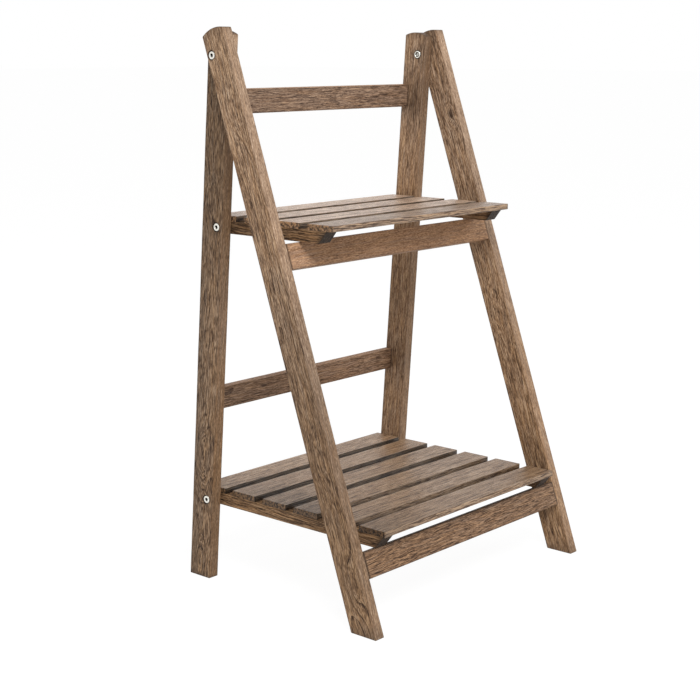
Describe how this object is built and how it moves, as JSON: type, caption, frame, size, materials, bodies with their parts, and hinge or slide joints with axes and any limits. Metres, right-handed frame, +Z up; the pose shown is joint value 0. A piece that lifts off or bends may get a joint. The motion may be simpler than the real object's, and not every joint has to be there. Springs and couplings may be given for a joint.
{
  "type": "folding shelf",
  "caption": "Folding wooden A-frame shelf: front and rear leg frames hinged at the top, with slatted shelves that pivot on the rear frame, rest on the front rails and fold flat.",
  "frame": {"origin": "on the floor, in the middle of the open stand's footprint", "axes": "+X to the right as seen from the front, the front faces -Y, +Z up"},
  "size_m": [0.4128, 0.3106, 0.6667],
  "materials": {
    "leg_wood": "brown stain, dark streaked grain, satin",
    "rail_wood": "brown stain, flecked grain, satin",
    "slat_wood": "grey-brown stain, long fine grain, satin",
    "bearer_wood": "dark brown stain, satin",
    "dowel_wood": "plain beech",
    "zinc_steel": "zinc plated",
    "spacer_plastic": "dark nylon"
  },
  "bodies": {
    "front_frame": {"front_leg_left": "leg_wood", "front_leg_right": "leg_wood", "front_rail_upper": "rail_wood", "front_rail_lower": "rail_wood", "front_rail_dowels": "dowel_wood", "top_pivot_bolts": "zinc_steel", "top_pivot_nuts": "zinc_steel", "top_pivot_washers": "zinc_steel"},
    "rear_frame": {"rear_leg_left": "leg_wood", "rear_leg_right": "leg_wood", "back_rail_upper": "rail_wood", "back_rail_lower": "rail_wood", "back_rail_dowels": "dowel_wood", "upper_shelf_pivot_bolts": "zinc_steel", "upper_shelf_pivot_nuts": "zinc_steel", "upper_shelf_pivot_spacers": "spacer_plastic", "lower_shelf_pivot_bolts": "zinc_steel", "lower_shelf_pivot_nuts": "zinc_steel", "lower_shelf_pivot_spacers": "spacer_plastic"},
    "upper_shelf": {"upper_slat_1": "slat_wood", "upper_slat_2": "slat_wood", "upper_slat_3": "slat_wood", "upper_slat_4": "slat_wood", "upper_bearer_left": "bearer_wood", "upper_bearer_right": "bearer_wood", "upper_slat_nails": "zinc_steel"},
    "lower_shelf": {"lower_slat_1": "slat_wood", "lower_slat_2": "slat_wood", "lower_slat_3": "slat_wood", "lower_slat_4": "slat_wood", "lower_slat_5": "slat_wood", "lower_slat_6": "slat_wood", "lower_bearer_left": "bearer_wood", "lower_bearer_right": "bearer_wood", "lower_slat_nails": "zinc_steel"}
  },
  "joints": [
    {"name": "frame_hinge", "type": "hinge", "parent": "front_frame", "child": "rear_frame", "pos_m": [0, 0.09499, 0.63465], "axis": [-1, 0, 0], "range_deg": [0, 22.78]},
    {"name": "upper_shelf_hinge", "type": "hinge", "parent": "rear_frame", "child": "upper_shelf", "pos_m": [0, 0.10569, 0.43632], "axis": [-1, 0, 0], "range_deg": [0, 86.48]},
    {"name": "lower_shelf_hinge", "type": "hinge", "parent": "rear_frame", "child": "lower_shelf", "pos_m": [0, 0.12636, 0.10028], "axis": [-1, 0, 0], "range_deg": [0, 86.48]}
  ]
}
